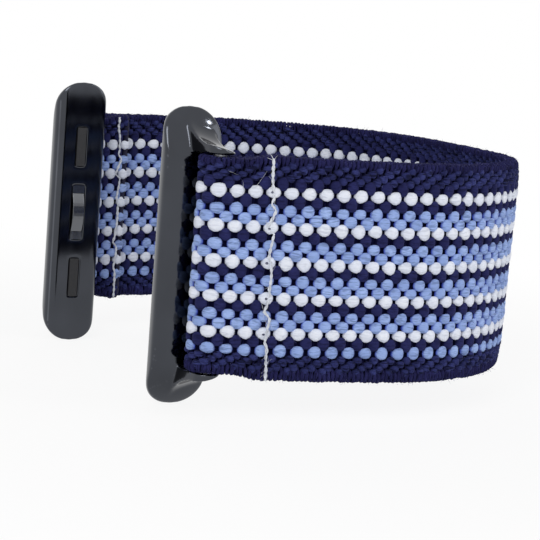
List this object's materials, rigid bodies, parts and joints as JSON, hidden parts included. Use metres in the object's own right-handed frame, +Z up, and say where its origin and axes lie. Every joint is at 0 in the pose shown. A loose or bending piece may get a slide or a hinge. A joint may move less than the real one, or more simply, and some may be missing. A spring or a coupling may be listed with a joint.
{
  "type": "elastic watch band",
  "caption": "Elastic watch band: a woven stretch webbing loop, folded and sewn round a bar in a slide-in metal adapter at each end, with a sprung latch in each adapter.",
  "frame": {"origin": "centre of the part's outline, at the lower ends of the two adapters, on which it stands", "axes": "+Z up, along the width of the webbing; +X from the adapters to the far side of the loop; Y across the loop, with the front adapter at -Y"},
  "size_m": [0.0504, 0.061, 0.034],
  "materials": {
    "webbing": "woven",
    "core_rubber": "matte",
    "thread": "spun",
    "adapter_metal": "gloss",
    "bar_steel": "satin",
    "latch_metal": "satin",
    "pad_rubber": "matte"
  },
  "bodies": {
    "strap_ends": {"front_sewn_loop": "webbing", "rear_sewn_loop": "webbing", "front_webbing_leg": "webbing", "rear_webbing_leg": "webbing", "front_elastic_cores": "core_rubber", "rear_elastic_cores": "core_rubber", "front_stitching": "thread", "rear_stitching": "thread"},
    "strap_bend": {"webbing_bend": "webbing", "bend_elastic_cores": "core_rubber"},
    "front_adapter": {"front_adapter_body": "adapter_metal", "front_strap_bar": "bar_steel", "front_latch_spring": "bar_steel", "front_latch_keepers": "latch_metal", "front_damper_pads": "pad_rubber"},
    "rear_adapter": {"rear_adapter_body": "adapter_metal", "rear_strap_bar": "bar_steel", "rear_latch_spring": "bar_steel", "rear_latch_keepers": "latch_metal", "rear_damper_pads": "pad_rubber"},
    "front_latch_nose": {"front_latch": "latch_metal"},
    "rear_latch_nose": {"rear_latch": "latch_metal"}
  },
  "joints": [
    {"name": "stretch", "type": "slide", "parent": "strap_ends", "child": "strap_bend", "axis": [1, 0, 0], "range_m": [0, 0.02], "stiffness_N_per_m": 400, "deforming": ["front_webbing_leg", "rear_webbing_leg", "front_elastic_cores", "rear_elastic_cores"]},
    {"name": "front_adapter_swing", "type": "hinge", "parent": "strap_ends", "child": "front_adapter", "pos_m": [-0.01996, -0.0244, 0.017], "axis": [0, 0, 1], "range_deg": [-60, 110]},
    {"name": "rear_adapter_swing", "type": "hinge", "parent": "strap_ends", "child": "rear_adapter", "pos_m": [-0.01996, 0.0244, 0.017], "axis": [0, 0, -1], "range_deg": [-60, 110]},
    {"name": "front_latch_press", "type": "slide", "parent": "front_adapter", "child": "front_latch_nose", "axis": [0, -1, 0], "range_m": [0, 0.0007], "stiffness_N_per_m": 800, "springref_m": -0.0004, "deforming": ["front_latch_spring"]},
    {"name": "rear_latch_press", "type": "slide", "parent": "rear_adapter", "child": "rear_latch_nose", "axis": [0, 1, 0], "range_m": [0, 0.0007], "stiffness_N_per_m": 800, "springref_m": -0.0004, "deforming": ["rear_latch_spring"]}
  ]
}
